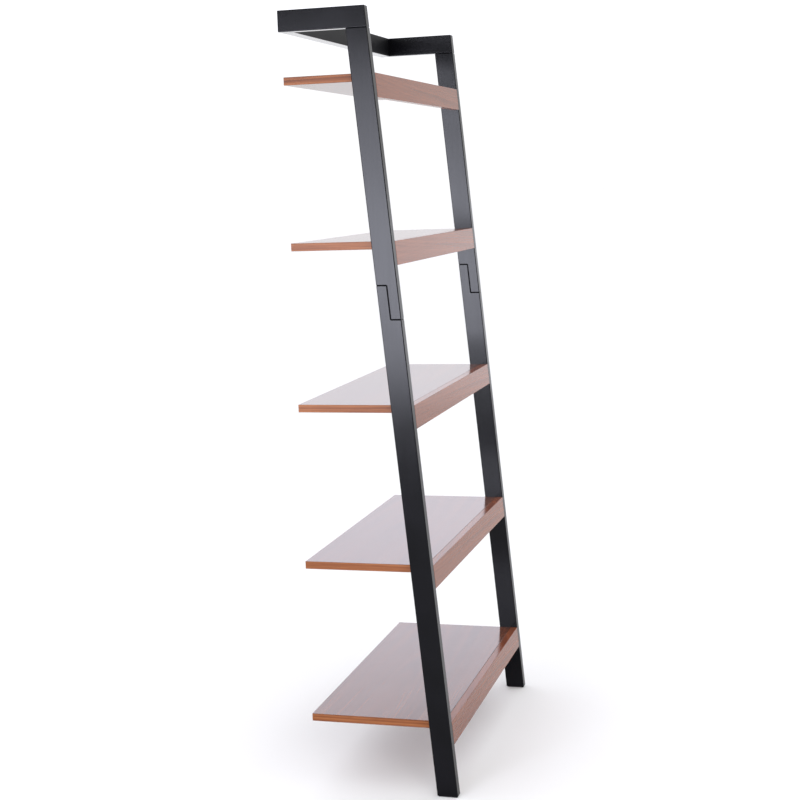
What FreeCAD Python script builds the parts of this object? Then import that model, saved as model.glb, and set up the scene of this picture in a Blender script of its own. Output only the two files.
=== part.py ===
"""Leaning ladder shelf: two leaning uprights, two wall arms, a crossbar and five shelves.

Frame: millimetres, +Z up, +X to the right seen from the front, +Y towards the wall.
The origin is on the floor, at the middle of the width and of the depth.
Shelves, panels and aprons are numbered from the floor up.
"""
import os
import re

import FreeCAD
import Part
import Sketcher

DIMENSIONS = [
    # alias, value in mm or degrees, meaning
    ("overall_height", 1900, "floor to the top of the arms"),
    ("overall_width", 860, "outer face to outer face of the uprights"),
    ("overall_depth", 376, "front of the feet to the wall"),
    ("lean_angle", 4.9, "lean of the uprights from the vertical, in degrees"),
    ("upright_width", 25, "upright and arm section, across the shelf"),
    ("upright_depth", 52, "upright section, measured level from front to back"),
    ("arm_height", 50, "height of the arms and of the crossbar"),
    ("crossbar_thickness", 32, "crossbar, front to back"),
    ("first_shelf_height", 184, "floor to the top of the lowest shelf"),
    ("shelf_pitch", 391, "from one shelf top to the next"),
    ("panel_thickness", 19, "shelf panel"),
    ("apron_height", 57, "front apron, flush with the top of its panel"),
    ("apron_thickness", 19, "front apron, measured level from front to back"),
    ("lap_height", 1173, "floor to the lower shoulder of the lap joint"),
    ("lap_length", 81, "height of the lap joint"),
    ("frame_easing", 2, "rounded edges of the frame pieces"),
    ("board_easing", 0.9, "rounded edges of the panels and aprons"),
    ("pad_thickness", 2, "foot pad"),
    ("pad_inset", 3, "foot pad, in from the edges of the foot"),
    ("dowel_radius", 4, "wooden dowel"),
    ("dowel_length", 30, "wooden dowel"),
    ("dowel_in_frame", 12, "length of a dowel inside an upright, arm or apron"),
    ("bore_clearance", 0.1, "gap around a dowel, bolt or cam in its bore"),
    ("bore_spare", 1, "spare depth past the end of a dowel or bolt"),
    ("apron_dowel_drop", 17, "shelf top to the upper dowel in the end of an apron"),
    ("apron_dowel_gap", 24, "between the two dowels in the end of an apron"),
    ("edge_dowel_inset", 80, "end of a panel to its first edge dowel"),
    ("arm_dowel_gap", 22, "between the two dowels under an arm"),
    ("crossbar_dowel_gap", 31, "between the two dowels in the end of the crossbar"),
    ("cam_radius", 7.5, "cam lock"),
    ("cam_height", 12.5, "cam lock"),
    ("cam_slot_length", 10, "cross slot of the cam lock"),
    ("cam_slot_width", 1.4, "cross slot of the cam lock"),
    ("cam_slot_depth", 1.5, "cross slot of the cam lock"),
    ("cam_setback", 24, "end of the board to the axis of its cam lock"),
    ("cam_behind_apron", 15, "back of the apron to the axis of the cam bolt"),
    ("cam_thread_radius", 2.5, "thread of the cam bolt, screwed into the frame"),
    ("cam_thread_length", 11, "thread of the cam bolt"),
    ("cam_shank_radius", 3.2, "shank of the cam bolt"),
    ("cam_neck_radius", 1.8, "neck behind the head of the cam bolt"),
    ("cam_neck_length", 4, "neck behind the head of the cam bolt"),
    ("cam_head_length", 3, "head of the cam bolt"),
    ("lap_bolt_radius", 3, "bolt through the lap joint"),
    ("lap_bolt_reach", 11, "length of the bolt past the middle of the upright"),
    ("lap_bolt_gap", 40, "between the two bolts of a lap joint"),
    ("bolt_head_radius", 5, "socket head of the lap bolt"),
    ("bolt_head_height", 6, "socket head of the lap bolt"),
    ("bolt_head_depth", 2, "head of the lap bolt, below the back of the upright"),
    ("bolt_socket_radius", 2.9, "hexagon socket, across its corners, halved"),
    ("bolt_socket_depth", 3.5, "hexagon socket"),
    ("insert_radius", 4.5, "threaded insert"),
    ("insert_length", 13, "threaded insert"),
    ("bracket_hole_radius", 2.5, "hole in the crossbar's back for a screw of the wall bracket"),
    ("bracket_hole_depth", 22, "hole in the crossbar's back for a screw of the wall bracket"),
    ("bracket_hole_gap", 64, "between the two screws of the wall bracket"),
]
ALIASES = [alias for alias, value, meaning in DIMENSIONS]

SHELF_COUNT = 5
LEAST_CUT = 1  # cubic millimetres that a cut must take away
SIDES = (("left", -1), ("right", 1))

# Places of the four dowels along a panel's front edge, in thirds of the way from its middle to the last one.
EDGE_DOWEL_STEPS = (-3, -1, 1, 3)

# Heights and places that several pieces share, as expressions of the sheet's cells.
HALF_SPAN = "(overall_width / 2 - upright_width)"
UPRIGHT_MIDDLE = "(overall_width / 2 - upright_width / 2)"
WALL = "(overall_depth / 2)"
ARM_BASE = "(overall_height - arm_height)"
LAP_TOP = "(lap_height + lap_length)"
LAP_MIDDLE = "(lap_height + lap_length / 2)"
DOWEL_IN_BOARD = "(dowel_length - dowel_in_frame)"
DOWEL_BORE = "(dowel_radius + bore_clearance)"
CROSSBAR_MIDDLE = "(overall_depth / 2 - crossbar_thickness / 2)"
ARM_MIDDLE = "(overall_height - arm_height / 2)"

# Directions of round pieces: the turn that takes +Z there, as an axis and an angle.
UPWARDS = ((1, 0, 0), "0")
TO_WALL = ((1, 0, 0), "-90")
TO_FRONT = ((1, 0, 0), "90")
SQUARE_TO_LEAN = ((1, 0, 0), "90 - lean_angle")
SIDEWAYS = {-1: ((0, 1, 0), "-90"), 1: ((0, 1, 0), "90")}

doc = FreeCAD.newDocument("ladder_shelf")
sheet = doc.addObject("Spreadsheet::Sheet", "dims")


def fill_sheet():
    """Write the driving dimensions, one row each: name, value, meaning."""
    for row, (alias, value, meaning) in enumerate(DIMENSIONS, start=1):
        sheet.set(f"A{row}", alias)
        sheet.set(f"B{row}", str(value))
        sheet.set(f"C{row}", meaning)
        sheet.setAlias(f"B{row}", alias)
    doc.recompute()


def cells(text):
    """Turn the sheet's names in an expression into references to its cells."""
    return re.sub(r"[a-z_]+", lambda word: f"dims.{word[0]}" if word[0] in ALIASES else word[0], text)


def value_of(text):
    """Work an expression out as a plain number."""
    return float(sheet.evalExpression(cells(text)))


def front(height):
    """Y of the leaning front face at a height."""
    return f"(-overall_depth / 2 + ({height}) * tan(lean_angle))"


def shelf_top(number):
    """Height of a shelf's top face, shelf 1 being the lowest."""
    return f"(first_shelf_height + {number - 1} * shelf_pitch)"


def draw_outline(sketch, corners):
    """Draw a closed outline whose corners are pairs of expressions, Y and Z, fully constrained."""
    points = [FreeCAD.Vector(value_of(depth), value_of(height), 0) for depth, height in corners]
    count = len(points)
    for index in range(count):
        sketch.addGeometry(Part.LineSegment(points[index], points[(index + 1) % count]))
    for index in range(count):
        sketch.addConstraint(Sketcher.Constraint("Coincident", index, 2, (index + 1) % count, 1))
    for index, (depth, height) in enumerate(corners):
        point = points[index]
        for kind, text, value in (("DistanceX", depth, point.x), ("DistanceY", height, point.y)):
            number = sketch.addConstraint(Sketcher.Constraint(kind, -1, 1, index, 1, value))
            sketch.setExpression(f"Constraints[{number}]", cells(text))


def board(name, corners, start, width, easing):
    """Pad an outline in the YZ plane along +X from start, and round all its edges."""
    body = doc.addObject("PartDesign::Body", f"{name}_blank")
    side_plane = [plane for plane in body.Origin.OriginFeatures if plane.Role == "YZ_Plane"][0]
    sketch = body.newObject("Sketcher::SketchObject", f"{name}_outline")
    sketch.AttachmentSupport = (side_plane, [""])
    sketch.MapMode = "FlatFace"
    sketch.setExpression("AttachmentOffset.Base.z", cells(start))
    draw_outline(sketch, corners)
    pad = body.newObject("PartDesign::Pad", f"{name}_pad")
    pad.Profile = sketch
    pad.setExpression("Length", cells(width))
    doc.recompute()
    rounding = body.newObject("PartDesign::Fillet", f"{name}_rounding")
    rounding.Base = (pad, ["Edge1"])
    rounding.UseAllEdges = True
    rounding.setExpression("Radius", cells(easing))
    doc.recompute()
    return body


def place(piece, point, direction=UPWARDS):
    """Bind a primitive's position and turn to the sheet."""
    axis, angle = direction
    piece.Placement = FreeCAD.Placement(FreeCAD.Vector(), FreeCAD.Vector(axis), 1)
    piece.setExpression("Placement.Rotation.Angle", cells(angle))
    for letter, text in zip("xyz", point):
        piece.setExpression(f"Placement.Base.{letter}", cells(text))
    return piece


def rod(name, point, direction, radius, length):
    """A plain round bar, from point along direction."""
    piece = doc.addObject("Part::Cylinder", name)
    piece.setExpression("Radius", cells(radius))
    piece.setExpression("Height", cells(length))
    return place(piece, point, direction)


def block(name, point, lengths, direction=UPWARDS):
    """A plain rectangular block with its low corner at point."""
    piece = doc.addObject("Part::Box", name)
    for side, text in zip(("Length", "Width", "Height"), lengths):
        piece.setExpression(side, cells(text))
    return place(piece, point, direction)


def fused(name, pieces):
    """Join primitives into one shape."""
    union = doc.addObject("Part::MultiFuse", name)
    union.Shapes = pieces
    return union


def cut(name, base, tools):
    """Take tools away from base, and make sure that they really removed something."""
    result = doc.addObject("Part::Cut", name)
    result.Base = base
    result.Tool = fused(f"{name}_tools", tools) if len(tools) > 1 else tools[0]
    doc.recompute()
    if result.Shape.Volume > base.Shape.Volume - LEAST_CUT:
        raise RuntimeError(f"{name}: the tools cut nothing")
    return result


def group(name, pieces):
    """Identical separate pieces that share one node."""
    compound = doc.addObject("Part::Compound", name)
    compound.Links = pieces
    return compound


def across(side, distance):
    """X at a distance outwards from the middle plane, on one side."""
    return f"{side} * ({distance})"


# ---- Where the fasteners sit: shared by the fasteners and by the bores that take them ----

def cam_seats():
    """Every cam joint: name, side, Y and Z of the bolt, and whether the cam enters from below."""
    for number in range(1, SHELF_COUNT + 1):
        height = f"({shelf_top(number)} - panel_thickness / 2)"
        depth = f"({front(height)} + apron_thickness + cam_behind_apron)"
        for side_name, side in SIDES:
            yield f"shelf_{number}_{side_name}", side, depth, height, True
    for side_name, side in SIDES:
        yield f"crossbar_{side_name}", side, CROSSBAR_MIDDLE, ARM_MIDDLE, False


def apron_end_seats(number):
    """Dowels in the ends of one apron: name, side, Y and Z."""
    for row in (0, 1):
        height = f"({shelf_top(number)} - apron_dowel_drop - {row} * apron_dowel_gap)"
        depth = f"({front(height)} + apron_thickness / 2)"
        for side_name, side in SIDES:
            yield f"apron_{number}_{side_name}_{row + 1}", side, depth, height


def crossbar_end_seats():
    """Dowels in the ends of the crossbar: name, side, Y and Z."""
    for row in (-1, 1):
        height = f"({ARM_MIDDLE} + {row} * crossbar_dowel_gap / 2)"
        for side_name, side in SIDES:
            yield f"crossbar_{side_name}_{row + 2}", side, CROSSBAR_MIDDLE, height


def edge_seats(number):
    """Dowels between a panel and its apron: name, X, Y at the joint, and Z."""
    height = f"({shelf_top(number)} - panel_thickness / 2)"
    depth = f"({front(height)} + apron_thickness)"
    for step in EDGE_DOWEL_STEPS:
        yield f"panel_{number}_{step + 4}", f"({step} / 3 * ({HALF_SPAN} - edge_dowel_inset))", depth, height


def arm_seats(side):
    """Dowels between an upright and its arm: X, and Y of each."""
    middle = f"({front(ARM_BASE)} + upright_depth / 2)"
    for row in (-1, 1):
        yield row + 2, across(side, UPRIGHT_MIDDLE), f"({middle} + {row} * arm_dowel_gap / 2)"


def lap_seats(side):
    """Bolts of one lap joint: number, X, Y at the middle of the upright, and Z."""
    for row in (-1, 1):
        height = f"({LAP_MIDDLE} + {row} * lap_bolt_gap / 2)"
        depth = f"({front(height)} + upright_depth / 2)"
        yield row + 2, across(side, UPRIGHT_MIDDLE), depth, height


def along_lean(point, distance):
    """Move a point square to the leaning faces, towards the front."""
    x, y, z = point
    return x, f"({y} - ({distance}) * cos(lean_angle))", f"({z} + ({distance}) * sin(lean_angle))"


# ---- Bores ----

def end_bores(name, side, depth, height, into_frame):
    """Bore for a dowel that joins the end of a board to an upright or arm."""
    length = "dowel_in_frame + bore_spare" if into_frame else f"{DOWEL_IN_BOARD} + bore_spare"
    direction = SIDEWAYS[side] if into_frame else SIDEWAYS[-side]
    return rod(name, (across(side, HALF_SPAN), depth, height), direction, DOWEL_BORE, length)


def lock_mouth(side, depth, height, from_below):
    """Open end of a cam lock's bore, and the way that it goes in."""
    x = across(side, f"{HALF_SPAN} - cam_setback")
    if from_below:
        return (x, depth, f"({height} - panel_thickness / 2)"), UPWARDS
    return (x, WALL, height), TO_FRONT


def cam_board_bores(name, side, depth, height, from_below):
    """Bores in a board for a cam lock and for the shank of its bolt."""
    shank = rod(f"{name}_shank_bore", (across(side, HALF_SPAN), depth, height), SIDEWAYS[-side],
                "cam_shank_radius + bore_clearance", "cam_setback")
    mouth, direction = lock_mouth(side, depth, height, from_below)
    lock = rod(f"{name}_lock_bore", mouth, direction, "cam_radius + bore_clearance",
               "cam_height + bore_spare / 2")
    return [shank, lock]


def cam_frame_bore(name, side, depth, height):
    """Bore in an upright or arm for the thread of a cam bolt."""
    return rod(name, (across(side, HALF_SPAN), depth, height), SIDEWAYS[side],
               "cam_thread_radius + bore_clearance", "cam_thread_length + bore_spare")


# ---- Frame ----

def upright_bores(name, side):
    """Bores in one side's upright for the shelves, from the floor up."""
    bores = []
    for seat, seat_side, depth, height, from_below in cam_seats():
        if seat_side == side and from_below:
            bore = cam_frame_bore(f"{name}_{seat}_thread_bore", side, depth, height)
            bores.append((value_of(height), bore))
    for number in range(1, SHELF_COUNT + 1):
        for seat, seat_side, depth, height in apron_end_seats(number):
            if seat_side == side:
                bore = end_bores(f"{name}_{seat}_bore", side, depth, height, True)
                bores.append((value_of(height), bore))
    return bores


def lower_upright(side_name, side, start, bores):
    """Lower half of an upright: the tongue of its lap joint is at the back."""
    name = f"lower_upright_{side_name}"
    corners = [
        (front("pad_thickness"), "pad_thickness"),
        (f"{front('pad_thickness')} + upright_depth", "pad_thickness"),
        (f"{front(LAP_TOP)} + upright_depth", LAP_TOP),
        (f"{front(LAP_TOP)} + upright_depth / 2", LAP_TOP),
        (f"{front('lap_height')} + upright_depth / 2", "lap_height"),
        (front("lap_height"), "lap_height"),
    ]
    blank = board(name, corners, start, "upright_width", "frame_easing")
    tools = [bore for height, bore in bores]
    for row, x, y, z in lap_seats(side):
        tools.append(rod(f"{name}_bolt_bore_{row}", along_lean((x, y, z), "-upright_depth"), SQUARE_TO_LEAN,
                         "lap_bolt_radius + bore_clearance", "upright_depth"))
        head_end = "-(upright_depth / 2 * cos(lean_angle) - bolt_head_depth - bolt_head_height)"
        seat = along_lean((x, y, z), f"{head_end} - upright_depth")
        tools.append(rod(f"{name}_head_bore_{row}", seat, SQUARE_TO_LEAN,
                         "bolt_head_radius + bore_clearance", "upright_depth"))
    return cut(name, blank, tools)


def upper_upright(side_name, side, start, bores):
    """Upper half of an upright: the tongue of its lap joint is at the front."""
    name = f"upper_upright_{side_name}"
    corners = [
        (front("lap_height"), "lap_height"),
        (f"{front('lap_height')} + upright_depth / 2", "lap_height"),
        (f"{front(LAP_TOP)} + upright_depth / 2", LAP_TOP),
        (f"{front(LAP_TOP)} + upright_depth", LAP_TOP),
        (f"{front(ARM_BASE)} + upright_depth", ARM_BASE),
        (front(ARM_BASE), ARM_BASE),
    ]
    blank = board(name, corners, start, "upright_width", "frame_easing")
    tools = [bore for height, bore in bores]
    for row, x, y, z in lap_seats(side):
        tools.append(rod(f"{name}_insert_bore_{row}", (x, y, z), SQUARE_TO_LEAN,
                         "insert_radius + bore_clearance", "insert_length + bore_spare"))
    for row, x, y in arm_seats(side):
        tools.append(rod(f"{name}_arm_bore_{row}", (x, y, f"{ARM_BASE} - {DOWEL_IN_BOARD} - bore_spare"),
                         UPWARDS, DOWEL_BORE, f"{DOWEL_IN_BOARD} + bore_spare"))
    return cut(name, blank, tools)


def top_arm(side_name, side, start):
    """Level arm from the top of an upright back to the wall, its front end cut to the lean."""
    name = f"top_arm_{side_name}"
    corners = [
        (front(ARM_BASE), ARM_BASE),
        (WALL, ARM_BASE),
        (WALL, "overall_height"),
        (front("overall_height"), "overall_height"),
    ]
    blank = board(name, corners, start, "upright_width", "frame_easing")
    tools = []
    for row, x, y in arm_seats(side):
        tools.append(rod(f"{name}_upright_bore_{row}", (x, y, ARM_BASE), UPWARDS, DOWEL_BORE,
                         "dowel_in_frame + bore_spare"))
    for seat, seat_side, depth, height, from_below in cam_seats():
        if seat_side == side and not from_below:
            tools.append(cam_frame_bore(f"{name}_thread_bore", side, depth, height))
    for seat, seat_side, depth, height in crossbar_end_seats():
        if seat_side == side:
            tools.append(end_bores(f"{name}_{seat}_bore", side, depth, height, True))
    return cut(name, blank, tools)


def top_crossbar():
    """Crossbar between the arms, against the wall, with two holes in its back for a wall bracket."""
    name = "top_crossbar"
    face = f"({WALL} - crossbar_thickness)"
    corners = [(face, ARM_BASE), (WALL, ARM_BASE), (WALL, "overall_height"), (face, "overall_height")]
    blank = board(name, corners, f"-{HALF_SPAN}", f"2 * {HALF_SPAN}", "frame_easing")
    tools = []
    for seat, side, depth, height, from_below in cam_seats():
        if not from_below:
            tools += cam_board_bores(f"{name}_{seat}", side, depth, height, from_below)
    for seat, side, depth, height in crossbar_end_seats():
        tools.append(end_bores(f"{name}_{seat}_bore", side, depth, height, False))
    for side_name, side in SIDES:
        mouth = (across(side, "bracket_hole_gap / 2"), WALL, ARM_MIDDLE)
        tools.append(rod(f"bracket_hole_{side_name}", mouth, TO_FRONT, "bracket_hole_radius",
                         "bracket_hole_depth"))
    return cut(name, blank, tools)


def foot_pads():
    """Thin anti-slip pad under each foot."""
    pads = []
    for side_name, side in SIDES:
        low_x = f"({across(side, UPRIGHT_MIDDLE)} - upright_width / 2 + pad_inset)"
        low_y = f"({front('pad_thickness')} + pad_inset)"
        lengths = ("upright_width - 2 * pad_inset", "upright_depth - 2 * pad_inset", "pad_thickness")
        pads.append(block(f"foot_pad_{side_name}", (low_x, low_y, "0"), lengths))
    return group("foot_pads", pads)


# ---- Shelves ----

def shelf_panel(number):
    """Thin panel between the uprights, from the back of its apron to the wall."""
    name = f"shelf_panel_{number}"
    top = shelf_top(number)
    bottom = f"({top} - panel_thickness)"
    corners = [
        (f"{front(bottom)} + apron_thickness", bottom),
        (WALL, bottom),
        (WALL, top),
        (f"{front(top)} + apron_thickness", top),
    ]
    blank = board(name, corners, f"-{HALF_SPAN}", f"2 * {HALF_SPAN}", "board_easing")
    tools = []
    for seat, side, depth, height, from_below in cam_seats():
        if seat.startswith(f"shelf_{number}_"):
            tools += cam_board_bores(f"{name}_{seat}", side, depth, height, from_below)
    for seat, x, y, z in edge_seats(number):
        tools.append(rod(f"{name}_{seat}_bore", (x, f"({y} - bore_spare)", z), TO_WALL, DOWEL_BORE,
                         f"{DOWEL_IN_BOARD} + 2 * bore_spare"))
    return cut(name, blank, tools)


def shelf_apron(number):
    """Apron in front of a panel, its faces in line with the leaning uprights."""
    name = f"shelf_apron_{number}"
    top = shelf_top(number)
    bottom = f"({top} - apron_height)"
    corners = [
        (front(bottom), bottom),
        (f"{front(bottom)} + apron_thickness", bottom),
        (f"{front(top)} + apron_thickness", top),
        (front(top), top),
    ]
    blank = board(name, corners, f"-{HALF_SPAN}", f"2 * {HALF_SPAN}", "board_easing")
    tools = []
    for seat, side, depth, height in apron_end_seats(number):
        tools.append(end_bores(f"{name}_{seat}_bore", side, depth, height, False))
    for seat, x, y, z in edge_seats(number):
        tools.append(rod(f"{name}_{seat}_bore", (x, f"({y} - dowel_in_frame - bore_spare)", z), TO_WALL,
                         DOWEL_BORE, "dowel_in_frame + 2 * bore_spare"))
    return cut(name, blank, tools)


# ---- Fasteners ----

def cam_bolts():
    """Bolts screwed into the frame, whose heads the cam locks pull on."""
    bolts = []
    for seat, side, depth, height, from_below in cam_seats():
        face = (across(side, HALF_SPAN), depth, height)
        shank_length = "(cam_setback - cam_radius - cam_neck_length / 2)"
        neck_start = (across(side, f"{HALF_SPAN} - {shank_length}"), depth, height)
        head_start = (across(side, f"{HALF_SPAN} - {shank_length} - cam_neck_length"), depth, height)
        inwards = SIDEWAYS[-side]
        bolts.append(fused(f"cam_bolt_{seat}", [
            rod(f"cam_bolt_{seat}_thread", face, SIDEWAYS[side], "cam_thread_radius", "cam_thread_length"),
            rod(f"cam_bolt_{seat}_shank", face, inwards, "cam_shank_radius", shank_length),
            rod(f"cam_bolt_{seat}_neck", neck_start, inwards, "cam_neck_radius", "cam_neck_length"),
            rod(f"cam_bolt_{seat}_head", head_start, inwards, "cam_shank_radius", "cam_head_length"),
        ]))
    return group("cam_bolts", bolts)


def cam_locks():
    """Round locks in the boards, open on the bolt's side and with a cross slot to turn them by."""
    locks = []
    for seat, side, depth, height, from_below in cam_seats():
        name = f"cam_lock_{seat}"
        mouth, direction = lock_mouth(side, depth, height, from_below)
        body = rod(f"{name}_body", mouth, direction, "cam_radius", "cam_height")
        mouth_bore = rod(f"{name}_bolt_bore", (across(side, HALF_SPAN), depth, height), SIDEWAYS[-side],
                         "cam_shank_radius + bore_clearance", "cam_setback + cam_shank_radius")
        tools = [mouth_bore]
        x, y, z = mouth
        for first, second in (("cam_slot_length", "cam_slot_width"), ("cam_slot_width", "cam_slot_length")):
            left = f"({x} - {first} / 2)"
            if from_below:
                corner = (left, f"({y} - {second} / 2)", z)
                sizes = (first, second, "cam_slot_depth")
            else:
                corner = (left, f"({y} - cam_slot_depth)", f"({z} - {second} / 2)")
                sizes = (first, "cam_slot_depth", second)
            tools.append(block(f"{name}_slot_{len(tools)}", corner, sizes))
        locks.append(cut(name, body, tools))
    return group("cam_locks", locks)


def end_dowel(seat, side, depth, height):
    """Dowel across the joint between the end of a board and the frame."""
    return rod(f"dowel_{seat}", (across(side, f"{HALF_SPAN} - {DOWEL_IN_BOARD}"), depth, height),
               SIDEWAYS[side], "dowel_radius", "dowel_length")


def apron_end_dowels():
    """Two dowels in each end of every apron."""
    return group("apron_end_dowels", [
        end_dowel(*seat) for number in range(1, SHELF_COUNT + 1) for seat in apron_end_seats(number)
    ])


def crossbar_dowels():
    """Two dowels in each end of the crossbar."""
    return group("crossbar_dowels", [end_dowel(*seat) for seat in crossbar_end_seats()])


def panel_edge_dowels():
    """Dowels that line each apron up with the front edge of its panel."""
    dowels = []
    for number in range(1, SHELF_COUNT + 1):
        for seat, x, y, z in edge_seats(number):
            dowels.append(rod(f"dowel_{seat}", (x, f"({y} - dowel_in_frame)", z), TO_WALL,
                              "dowel_radius", "dowel_length"))
    return group("panel_edge_dowels", dowels)


def arm_dowels():
    """Two dowels from the top of each upright into its arm."""
    dowels = []
    for side_name, side in SIDES:
        for row, x, y in arm_seats(side):
            dowels.append(rod(f"dowel_arm_{side_name}_{row}", (x, y, f"({ARM_BASE} - {DOWEL_IN_BOARD})"),
                              UPWARDS, "dowel_radius", "dowel_length"))
    return group("arm_dowels", dowels)


def lap_bolts():
    """Socket head bolts from the back of each lap joint into the inserts."""
    bolts = []
    for side_name, side in SIDES:
        for row, x, y, z in lap_seats(side):
            name = f"lap_bolt_{side_name}_{row}"
            head_back = "-(upright_depth / 2 * cos(lean_angle) - bolt_head_depth)"
            start = along_lean((x, y, z), head_back)
            whole = fused(f"{name}_whole", [
                rod(f"{name}_head", start, SQUARE_TO_LEAN, "bolt_head_radius", "bolt_head_height"),
                rod(f"{name}_shank", start, SQUARE_TO_LEAN, "lap_bolt_radius",
                    f"-({head_back}) + lap_bolt_reach"),
            ])
            socket = doc.addObject("Part::Prism", f"{name}_socket")
            socket.Polygon = 6
            socket.setExpression("Circumradius", cells("bolt_socket_radius"))
            socket.setExpression("Height", cells("bolt_socket_depth"))
            bolts.append(cut(name, whole, [place(socket, start, SQUARE_TO_LEAN)]))
    return group("lap_bolts", bolts)


def lap_inserts():
    """Threaded inserts in the upper tongue of each lap joint."""
    inserts = []
    for side_name, side in SIDES:
        for row, x, y, z in lap_seats(side):
            name = f"lap_insert_{side_name}_{row}"
            start = along_lean((x, y, z), "bore_clearance")
            outside = rod(f"{name}_outside", start, SQUARE_TO_LEAN, "insert_radius", "insert_length")
            inside = rod(f"{name}_inside", start, SQUARE_TO_LEAN, "lap_bolt_radius + bore_clearance / 2",
                         "insert_length")
            inserts.append(cut(name, outside, [inside]))
    return group("lap_inserts", inserts)


# ---- Assembly ----

def build():
    """Make every sub-part and return them as a list."""
    parts = []
    for side_name, side in SIDES:
        start = "-overall_width / 2" if side < 0 else HALF_SPAN
        bores = upright_bores(f"upright_{side_name}", side)
        middle = value_of(LAP_MIDDLE)
        parts.append(lower_upright(side_name, side, start, [bore for bore in bores if bore[0] < middle]))
        parts.append(upper_upright(side_name, side, start, [bore for bore in bores if bore[0] > middle]))
        parts.append(top_arm(side_name, side, start))
    parts.append(top_crossbar())
    for number in range(1, SHELF_COUNT + 1):
        parts.append(shelf_panel(number))
        parts.append(shelf_apron(number))
    parts += [foot_pads(), cam_bolts(), cam_locks(), apron_end_dowels(), crossbar_dowels()]
    parts += [panel_edge_dowels(), arm_dowels(), lap_bolts(), lap_inserts()]
    doc.recompute()
    return parts


def check(parts):
    """Stop if any object of the document failed, or if a sub-part isn't sound."""
    for item in doc.Objects:
        if "Invalid" in item.State or "Error" in item.State:
            raise RuntimeError(f"{item.Name} failed: {item.State}")
    for part in parts:
        if part.Shape.isNull() or not part.Shape.isValid() or not part.Shape.Solids:
            raise RuntimeError(f"{part.Name} has no sound shape")


def export(parts):
    """Name each sub-part after its node and write its STEP file."""
    os.makedirs("parts", exist_ok=True)
    for part in parts:
        part.Label = part.Name
        part.Shape.exportStep(f"parts/{part.Label}.step")
        box = part.Shape.BoundBox
        print(f"{part.Label}: {len(part.Shape.Solids)} solids, {box.XLength:.1f} x {box.YLength:.1f} x "
              f"{box.ZLength:.1f} mm, {part.Shape.Volume / 1000:.2f} cm3")


fill_sheet()
sub_parts = build()
check(sub_parts)
export(sub_parts)
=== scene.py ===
"""Looks of the leaning ladder shelf: black lacquered frame, glossy brown wood shelves, metal hardware.

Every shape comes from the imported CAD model. This script gives each node its materials and sets the studio.
Metres, +Z up, +Y towards the wall, the origin on the floor at the middle of the shelf.
"""
import math
from collections import namedtuple

import bpy
from mathutils import Matrix, Vector


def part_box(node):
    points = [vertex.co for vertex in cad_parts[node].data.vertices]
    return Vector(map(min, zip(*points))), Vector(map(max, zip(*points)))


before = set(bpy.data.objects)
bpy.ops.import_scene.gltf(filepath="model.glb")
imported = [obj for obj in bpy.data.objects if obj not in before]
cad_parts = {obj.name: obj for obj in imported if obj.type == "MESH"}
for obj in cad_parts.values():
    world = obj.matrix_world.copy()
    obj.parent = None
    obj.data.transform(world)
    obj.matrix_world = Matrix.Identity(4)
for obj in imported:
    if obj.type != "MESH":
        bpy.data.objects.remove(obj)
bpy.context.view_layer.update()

# ---- Camera ----

CAMERA_PLACE = Vector((-3.884, -1.063, 1.489))
CAMERA_YAW = math.radians(15.93)
CAMERA_PITCH = math.radians(-8.03)
CAMERA_ROLL = math.radians(-2.07)
CAMERA_LENS = 68.86
SENSOR_WIDTH = 36.0

# ---- Surroundings ----

# Radiance all round, and of a bright wall far beyond the right side.
PLAIN_LIGHT = (1.03, 1.03, 1.04, 1.0)
GLOW_LIGHT = (2.18, 2.20, 2.48, 1.0)

# The bright wall grows in from the first to the second number of a direction's X, Y and Z.
# Higher up it loses part of its brightness again.
GLOW_ALONG_X = (0.2, 0.8)
GLOW_ALONG_Y = (-0.25, 0.2)
GLOW_ALONG_Z = (0.04, 0.30)
GLOW_LOSS_ALONG_Z = (0.30, 0.37)
GLOW_LOSS = 0.4

FLOOR_SIZE = 400.0
FLOOR_COLOUR = (0.91, 0.91, 0.91)
FLOOR_ROUGH = 0.9
FLOOR_LEVEL = 0.1

# ---- Soft lights ----

WHITE = (1.0, 1.0, 1.0)
COOL_WHITE = (0.96, 0.98, 1.08)
BLUISH_WHITE = (0.94, 0.96, 1.10)

# Spread is in degrees and power in watts.
SoftLight = namedtuple("SoftLight", "name centre target width height spread power colour")
SOFT_LIGHTS = (
    SoftLight("low_softbox", (-5.5, 1.45, 0.92), (0.0, -0.1, 1.3), 2.6, 1.18, 60.0, 25.0, BLUISH_WHITE),
    SoftLight("high_softbox", (-5.5, 1.45, 1.84), (0.0, -0.1, 1.3), 2.6, 0.66, 60.0, 9.0, BLUISH_WHITE),
    SoftLight("key_softbox", (-4.0, -2.2, 2.4), (0.0, 0.0, 0.9), 2.2, 1.8, 120.0, 22.0, WHITE),
    SoftLight("side_softbox", (5.5, -2.0, 1.05), (0.0, 0.0, 1.05), 4.4, 1.4, 180.0, 10.0, COOL_WHITE),
)

# ---- Wood ----

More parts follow.
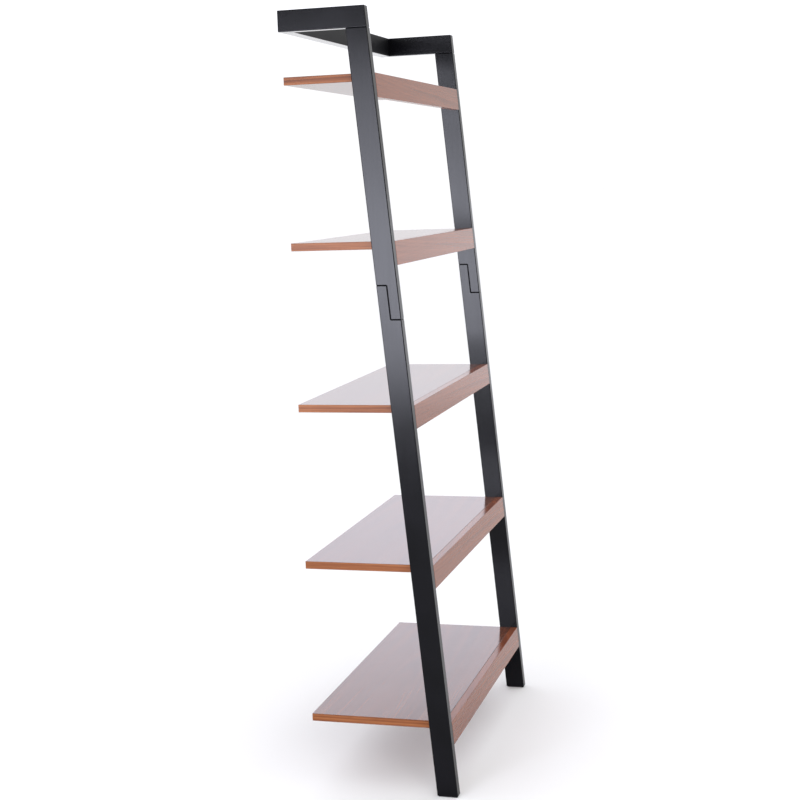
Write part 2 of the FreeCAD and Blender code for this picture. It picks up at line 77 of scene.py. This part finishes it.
# Tones are dark, middle and light; level is the specular level.
WoodFinish = namedtuple("WoodFinish", "tones rough level")
PANEL_FINISH = WoodFinish(
    ((0.060, 0.0145, 0.0055), (0.108, 0.0290, 0.0108), (0.165, 0.0500, 0.0190)), 0.12, 0.5)
APRON_FINISH = WoodFinish(
    ((0.150, 0.0390, 0.0150), (0.205, 0.0560, 0.0215), (0.262, 0.0770, 0.0300)), 0.15, 0.20)
BAND_FINISH = WoodFinish(
    ((0.090, 0.0260, 0.0090), (0.172, 0.0560, 0.0195), (0.265, 0.1000, 0.0370)), 0.30, 0.12)
# Near-black wood for the eased faces in the joint of panel and apron: painted shade that deepens the groove.
PAINTED_JOINT_SHADE = WoodFinish(
    ((0.008, 0.0025, 0.0012), (0.012, 0.0040, 0.0020), (0.018, 0.0060, 0.0030)), 0.6, 0.1)
TONE_STOPS = (0.36, 0.5, 0.64)

# The heart of the log that a board is cut from, beside and below the board's middle, and its slope along X.
HEART_ASIDE = 0.045
HEART_BELOW = 0.060
HEART_SLOPE = 0.050

# Growth rings: how many, how fast they change along the board, how far they wander sideways,
# and how much of that wandering an end's band keeps.
RINGS_PER_METRE = 150.0
RING_CHANGE = 0.8
RING_SWAY = 0.05
BAND_SWAY_SHARE = 0.2

# Texture scales per metre: along the grain, then twice across it.
SWAY_SCALES = (1.3, 3.0, 3.0)
BROAD_SCALES = (0.9, 9.0, 9.0)
FIBRE_SCALES = (9.0, 520.0, 520.0)
PORE_SCALES = (30.0, 1150.0, 1150.0)
WAVE_SCALES = (6.0, 14.0, 14.0)

# What the rings, the broad tone and the fibres each add to the figure.
RING_SHARE = 0.70
BROAD_SHARE = 0.30
FIBRE_SHARE = 0.30

PORE_START = 0.60
PORE_STRENGTH = 3.5
FIBRE_ROUGH = 0.08
WAVE_HEIGHT = 0.0006
FIBRE_HEIGHT = 0.00003

# Each board is cut from another place of the log: this far on for every shelf, and for an apron
# a part of a step more.
SHIFT_PER_SHELF = (3.7, 1.9, 0.83)
APRON_STEP = 0.45

# How square to X an end is, how far to the side an eased edge leans, and how wide the easing is; the last
# two pick the faces in the joint that get painted shade.
END_FACING = 0.72
EASED_FACING = 0.25
EASING_REACH = 0.0012

# ---- Black lacquer ----

BlackFinish = namedtuple("BlackFinish", "rough level coat")
SATIN_BLACK = BlackFinish(0.12, 0.12, 0.0)
MATT_BLACK = BlackFinish(0.42, 0.12, 0.0)
UNDERSIDE_BLACK = BlackFinish(0.12, 0.5, 0.8)
COAT_ROUGH = 0.05

BLACK_TONES = ((0.0012, 0.0012, 0.0020), (0.0026, 0.0025, 0.0040))
GRAIN_ALONG = 5.0
GRAIN_ACROSS = 260.0
SPRAY_SCALE = 420.0
CLOUD_SCALE = 9.0
CLOUD_ROUGH = 0.06
GRAIN_ROUGH = 0.06
SPRAY_HEIGHT = 0.00002
GRAIN_HEIGHT = 0.00004

# ---- Hardware ----

# Dark and light tone, and the lowest and highest roughness.
Metal = namedtuple("Metal", "dark light low high")
ZINC_PLATE = Metal((0.50, 0.51, 0.53), (0.74, 0.75, 0.77), 0.22, 0.38)
CAST_ZINC = Metal((0.36, 0.36, 0.37), (0.56, 0.56, 0.58), 0.38, 0.55)
TURNED_BRASS = Metal((0.58, 0.40, 0.14), (0.80, 0.60, 0.26), 0.20, 0.34)
SCRATCH_SCALES = (900.0, 900.0, 2600.0)
SCRATCH_HEIGHT = 0.00001

BEECH_TONES = ((0.42, 0.26, 0.13), (0.60, 0.41, 0.23))
BEECH_SCALES = (120.0, 900.0, 900.0)
BEECH_ROUGH = 0.6
BEECH_HEIGHT = 0.00005

RUBBER_TONES = ((0.012, 0.012, 0.012), (0.028, 0.028, 0.028))
RUBBER_SCALE = 900.0
RUBBER_ROUGH = 0.85
RUBBER_HEIGHT = 0.0001


# ---- Node helpers ----

def add_node(tree, kind, inputs=None, **settings):
    """Add a shader node; inputs are values or sockets to link, settings are its own properties."""
    made = tree.nodes.new(kind)
    for name, value in settings.items():
        setattr(made, name, value)
    for name, value in (inputs or {}).items():
        if isinstance(value, bpy.types.NodeSocket):
            tree.links.new(value, made.inputs[name])
        else:
            made.inputs[name].default_value = value
    return made


def maths(tree, operation, first, second, clamp=False):
    """A Math node's result."""
    made = add_node(tree, "ShaderNodeMath", {0: first, 1: second}, operation=operation, use_clamp=clamp)
    return made.outputs[0]


def plus(tree, first, second):
    """The sum of two values."""
    return maths(tree, "ADD", first, second)


def minus(tree, first, second, clamp=False):
    """The difference of two values, held between 0 and 1 where clamp is set."""
    return maths(tree, "SUBTRACT", first, second, clamp)


def times(tree, first, second, clamp=False):
    """The product of two values, held between 0 and 1 where clamp is set."""
    return maths(tree, "MULTIPLY", first, second, clamp)


def mixed(tree, factor, first, second):
    """Mix two colours by a factor. A Mix node's colours are its inputs 6 and 7 and its output 2."""
    return add_node(tree, "ShaderNodeMix", {0: factor, 6: first, 7: second}, data_type="RGBA").outputs[2]


def smooth_step(tree, value, low, high):
    """0 below low, 1 above high, and a smooth rise between them."""
    inputs = {"Value": value, "From Min": low, "From Max": high}
    return add_node(tree, "ShaderNodeMapRange", inputs, interpolation_type="SMOOTHSTEP").outputs[0]


def ramp(tree, factor, stops, colours):
    """A colour ramp with each colour at its stop."""
    made = add_node(tree, "ShaderNodeValToRGB", {"Fac": factor})
    elements = made.color_ramp.elements
    while len(elements) < len(stops):
        elements.new(0.5)
    for element, place, colour in zip(elements, stops, colours):
        element.position = place
        element.color = (*colour, 1.0)
    return made.outputs["Color"]


def speckled(tree, factor, tones):
    """The darker tone where a noise is low, the lighter where it is high."""
    return ramp(tree, factor, (0.3, 0.7), tones)


def noise(tree, vector, scale=1.0, detail=2.0, rough=0.5):
    """A noise texture's value."""
    inputs = {"Vector": vector, "Scale": scale, "Detail": detail, "Roughness": rough}
    return add_node(tree, "ShaderNodeTexNoise", inputs).outputs[0]


def stretched(tree, vector, scales, shift=(0.0, 0.0, 0.0)):
    """Scale and shift a vector, so that a texture runs long along one axis."""
    inputs = {"Vector": vector, "Location": shift, "Scale": scales}
    return add_node(tree, "ShaderNodeMapping", inputs).outputs[0]


def split(tree, vector):
    """A vector's X, Y and Z, as a node's outputs."""
    return add_node(tree, "ShaderNodeSeparateXYZ", {0: vector}).outputs


def joined(tree, **parts):
    """A vector of parts named X, Y and Z."""
    return add_node(tree, "ShaderNodeCombineXYZ", parts).outputs[0]


def bump(tree, height, distance, strength, normal=None):
    """A bump from a height, whose full range is the distance in metres."""
    inputs = {"Height": height, "Distance": distance, "Strength": strength}
    if normal is not None:
        inputs["Normal"] = normal
    return add_node(tree, "ShaderNodeBump", inputs).outputs[0]


def object_place(tree):
    """The place on the object, in metres."""
    return add_node(tree, "ShaderNodeTexCoord").outputs["Object"]


def new_material(name):
    """A material with an empty Principled surface; returns it, its tree and the shader."""
    material = bpy.data.materials.new(name)
    material.use_nodes = True
    tree = material.node_tree
    return material, tree, tree.nodes["Principled BSDF"]


def plug(tree, shader, **sockets):
    """Link textures to the shader's sockets, whose names have underscores here."""
    for name, socket in sockets.items():
        tree.links.new(socket, shader.inputs[name.replace("_", " ")])


# ---- Materials ----

def ring_place(tree, along, middle, shift, crosswise):
    """What the growth rings follow: the distance from the log's heart, or the height on an end's band."""
    parts = split(tree, along)
    sway = times(tree, noise(tree, stretched(tree, along, SWAY_SCALES, shift)), RING_SWAY)
    if crosswise:
        return plus(tree, parts["Y"], times(tree, sway, BAND_SWAY_SHARE))
    aside = plus(tree, minus(tree, parts["Y"], middle[1] + HEART_ASIDE), sway)
    above = minus(tree, parts["Z"], middle[2] - HEART_BELOW)
    above = plus(tree, above, times(tree, parts["X"], HEART_SLOPE))
    across = joined(tree, X=aside, Y=above)
    return add_node(tree, "ShaderNodeVectorMath", {0: across}, operation="LENGTH").outputs["Value"]


def grain(tree, along, middle, shift, crosswise):
    """Figure, fibres and pores of wood, on coordinates whose X runs along the grain."""
    place = ring_place(tree, along, middle, shift, crosswise)
    length = split(tree, along)["X"]
    ring_at = joined(tree, X=times(tree, place, RINGS_PER_METRE), Y=times(tree, length, RING_CHANGE))
    rings = noise(tree, ring_at, detail=3.0, rough=0.6)
    broad = noise(tree, stretched(tree, along, BROAD_SCALES, shift))
    fibres = noise(tree, stretched(tree, along, FIBRE_SCALES, shift), rough=0.6)
    pores = noise(tree, stretched(tree, along, PORE_SCALES, shift), detail=1.0)
    figure = plus(tree, times(tree, rings, RING_SHARE), times(tree, broad, BROAD_SHARE))
    figure = plus(tree, figure, times(tree, minus(tree, fibres, 0.5), FIBRE_SHARE))
    return figure, fibres, pores


def lacquered_wood(name, middle, shift, finish, crosswise=False):
    """Brown stained wood under clear lacquer, its grain along X, or along Y on the band on an end."""
    material, tree, shader = new_material(name)
    place = object_place(tree)
    along = place
    if crosswise:
        parts = split(tree, place)
        along = joined(tree, X=parts["Y"], Y=parts["Z"], Z=parts["X"])
    figure, fibres, pores = grain(tree, along, middle, shift, crosswise)
    colour = ramp(tree, figure, TONE_STOPS, finish.tones)
    pore_mask = minus(tree, pores, PORE_START, clamp=True)
    pore_mask = times(tree, pore_mask, PORE_STRENGTH, clamp=True)
    colour = mixed(tree, pore_mask, colour, (*finish.tones[0], 1.0))
    rough = plus(tree, times(tree, fibres, FIBRE_ROUGH), finish.rough)
    waves = noise(tree, stretched(tree, place, WAVE_SCALES, shift), detail=1.0)
    relief = bump(tree, waves, WAVE_HEIGHT, strength=0.5)
    relief = bump(tree, fibres, FIBRE_HEIGHT, strength=0.35, normal=relief)
    plug(tree, shader, Base_Color=colour, Roughness=rough, Normal=relief)
    shader.inputs["Specular IOR Level"].default_value = finish.level
    return material


def black_lacquer(name, axis, finish):
    """Black lacquer on wood, with the grain showing faintly through along an axis, 0 to 2."""
    material, tree, shader = new_material(name)
    place = object_place(tree)
    scales = [GRAIN_ACROSS, GRAIN_ACROSS, GRAIN_ACROSS]
    scales[axis] = GRAIN_ALONG
    fibres = noise(tree, stretched(tree, place, scales), rough=0.55)
    spray = noise(tree, place, SPRAY_SCALE, detail=1.0)
    cloud = noise(tree, place, CLOUD_SCALE)
    rough = plus(tree, times(tree, cloud, CLOUD_ROUGH), finish.rough)
    rough = plus(tree, rough, times(tree, fibres, GRAIN_ROUGH))
    relief = bump(tree, spray, SPRAY_HEIGHT, strength=0.5)
    relief = bump(tree, fibres, GRAIN_HEIGHT, strength=0.5, normal=relief)
    plug(tree, shader, Base_Color=speckled(tree, cloud, BLACK_TONES), Roughness=rough, Normal=relief)
    shader.inputs["Specular IOR Level"].default_value = finish.level
    shader.inputs["Coat Weight"].default_value = finish.coat
    shader.inputs["Coat Roughness"].default_value = COAT_ROUGH
    return material


def scratched_metal(name, kind):
    """Plated, cast or turned metal with fine scratches."""
    material, tree, shader = new_material(name)
    scratches = noise(tree, stretched(tree, object_place(tree), SCRATCH_SCALES))
    colour = speckled(tree, scratches, (kind.dark, kind.light))
    rough = plus(tree, times(tree, scratches, kind.high - kind.low), kind.low)
    relief = bump(tree, scratches, SCRATCH_HEIGHT, strength=0.4)
    plug(tree, shader, Base_Color=colour, Roughness=rough, Normal=relief)
    shader.inputs["Metallic"].default_value = 1.0
    return material


def beech():
    """Plain turned beech of the dowels."""
    material, tree, shader = new_material("beech_dowel")
    flecks = noise(tree, stretched(tree, object_place(tree), BEECH_SCALES))
    relief = bump(tree, flecks, BEECH_HEIGHT, strength=0.5)
    plug(tree, shader, Base_Color=speckled(tree, flecks, BEECH_TONES), Normal=relief)
    shader.inputs["Roughness"].default_value = BEECH_ROUGH
    return material


def pad_rubber():
    """Matte black anti-slip rubber."""
    material, tree, shader = new_material("pad_rubber")
    grit = noise(tree, object_place(tree), RUBBER_SCALE)
    relief = bump(tree, grit, RUBBER_HEIGHT, strength=0.6)
    plug(tree, shader, Base_Color=speckled(tree, grit, RUBBER_TONES), Normal=relief)
    shader.inputs["Roughness"].default_value = RUBBER_ROUGH
    return material


# ---- Dressing the nodes ----

def set_materials(mesh, materials, kind_of=None):
    """Give a mesh its materials, and each face the one whose number kind_of returns, or else the first."""
    mesh.materials.clear()
    for material in materials:
        mesh.materials.append(material)
    for face in mesh.polygons:
        face.material_index = kind_of(face) if kind_of else 0


def dress_wood(name, mesh):
    """Give a shelf board its wood, a band on each end, and a dark line of painted shade in the joint of
    panel and apron.
    """
    number = int(name[-1])
    is_panel = "panel" in name
    step = number if is_panel else number + APRON_STEP
    shift = [step * part for part in SHIFT_PER_SHELF]
    low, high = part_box(name)
    middle = [(start + end) / 2 for start, end in zip(low, high)]
    joint_side = -1.0 if is_panel else 1.0
    joint = low[1] if is_panel else high[1]
    finish = PANEL_FINISH if is_panel else APRON_FINISH
    wood = lacquered_wood(f"wood_{name}", middle, shift, finish)
    band = lacquered_wood(f"end_band_{name}", middle, shift, BAND_FINISH, crosswise=True)
    # Painted shade for the eased faces in the joint.
    shade = lacquered_wood(f"painted_joint_shade_{name}", middle, shift, PAINTED_JOINT_SHADE)

    def kind_of(face):
        if abs(face.normal.x) > END_FACING:
            return 1
        # Eased faces that lean towards the joint and lie close to it get the painted shade.
        leans = joint_side * face.normal.y > EASED_FACING and face.normal.z > EASED_FACING
        if leans and abs(face.center.y - joint) < EASING_REACH:
            return 2
        return 0

    set_materials(mesh, [wood, band, shade], kind_of)


def is_underside(face):
    """1 for a face that looks down, 0 for any other."""
    return 1 if face.normal.z < -END_FACING else 0


def dress(nodes):
    """Give every CAD node its materials."""
    zinc = scratched_metal("zinc_plate", ZINC_PLATE)
    hardware = {
        "cam_bolts": zinc,
        "lap_bolts": zinc,
        "cam_locks": scratched_metal("cast_zinc", CAST_ZINC),
        "lap_inserts": scratched_metal("turned_brass", TURNED_BRASS),
        "foot_pads": pad_rubber(),
    }
    dowel = beech()
    stile = black_lacquer("stile_lacquer", 2, SATIN_BLACK)
    arm = black_lacquer("arm_lacquer", 1, SATIN_BLACK)
    arm_underside = black_lacquer("arm_underside_lacquer", 1, UNDERSIDE_BLACK)
    crossbar = black_lacquer("crossbar_lacquer", 0, MATT_BLACK)
    crossbar_underside = black_lacquer("crossbar_underside_lacquer", 0, UNDERSIDE_BLACK)
    for name, node in nodes.items():
        if name.startswith("shelf_"):
            dress_wood(name, node.data)
        elif name.startswith("top_arm"):
            set_materials(node.data, [arm, arm_underside], is_underside)
        elif name == "top_crossbar":
            set_materials(node.data, [crossbar, crossbar_underside], is_underside)
        elif "upright" in name:
            set_materials(node.data, [stile])
        else:
            set_materials(node.data, [hardware.get(name, dowel)])


# ---- Studio ----

def add_camera():
    """The camera, turned by its yaw and pitch and rolled about its own line of sight."""
    ahead = Vector((
        math.cos(CAMERA_YAW) * math.cos(CAMERA_PITCH),
        math.sin(CAMERA_YAW) * math.cos(CAMERA_PITCH),
        math.sin(CAMERA_PITCH),
    ))
    level = Vector((math.sin(CAMERA_YAW), -math.cos(CAMERA_YAW), 0.0))
    upright = level.cross(ahead)
    right = level * math.cos(CAMERA_ROLL) + upright * math.sin(CAMERA_ROLL)
    up = upright * math.cos(CAMERA_ROLL) - level * math.sin(CAMERA_ROLL)
    data = bpy.data.cameras.new("camera")
    data.lens = CAMERA_LENS
    data.sensor_width = SENSOR_WIDTH
    camera = bpy.data.objects.new("camera", data)
    turn = Matrix((right, up, -ahead)).transposed().to_4x4()
    camera.matrix_world = Matrix.Translation(CAMERA_PLACE) @ turn
    bpy.context.scene.collection.objects.link(camera)
    bpy.context.scene.camera = camera


def add_soft_light(light):
    """A large rectangular softbox, which the camera itself doesn't see."""
    data = bpy.data.lights.new(light.name, "AREA")
    data.shape = "RECTANGLE"
    data.size = light.width
    data.size_y = light.height
    data.spread = math.radians(light.spread)
    data.energy = light.power
    data.color = light.colour
    softbox = bpy.data.objects.new(light.name, data)
    softbox.location = light.centre
    aim = Vector(light.target) - Vector(light.centre)
    softbox.rotation_euler = aim.to_track_quat("-Z", "Y").to_euler()
    softbox.visible_camera = False
    bpy.context.scene.collection.objects.link(softbox)


def add_floor():
    """A large plain pale floor under the shelf."""
    half = FLOOR_SIZE / 2
    corners = [(-half, -half, 0.0), (half, -half, 0.0), (half, half, 0.0), (-half, half, 0.0)]
    mesh = bpy.data.meshes.new("floor")
    mesh.from_pydata(corners, [], [(0, 1, 2, 3)])
    floor = bpy.data.objects.new("floor", mesh)
    bpy.context.scene.collection.objects.link(floor)
    material, tree, shader = new_material("pale_floor")
    shader.inputs["Base Color"].default_value = (*FLOOR_COLOUR, 1.0)
    shader.inputs["Roughness"].default_value = FLOOR_ROUGH
    shader.inputs["Specular IOR Level"].default_value = FLOOR_LEVEL
    mesh.materials.append(material)


def add_world():
    """Even white surroundings, with a brighter wall of light far beyond the right side."""
    world = bpy.data.worlds.new("studio")
    bpy.context.scene.world = world
    world.use_nodes = True
    tree = world.node_tree
    direction = split(tree, add_node(tree, "ShaderNodeTexCoord").outputs["Generated"])
    raised = smooth_step(tree, direction["Z"], *GLOW_ALONG_Z)
    lost = times(tree, smooth_step(tree, direction["Z"], *GLOW_LOSS_ALONG_Z), GLOW_LOSS)
    to_right = smooth_step(tree, direction["X"], *GLOW_ALONG_X)
    to_wall = smooth_step(tree, direction["Y"], *GLOW_ALONG_Y)
    glow = times(tree, times(tree, minus(tree, raised, lost), to_right), to_wall)
    colour = mixed(tree, glow, PLAIN_LIGHT, GLOW_LIGHT)
    tree.links.new(colour, tree.nodes["Background"].inputs["Color"])


dress(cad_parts)
add_floor()
add_world()
for soft_light in SOFT_LIGHTS:
    add_soft_light(soft_light)
add_camera()
bpy.context.scene.view_settings.view_transform = "Standard"
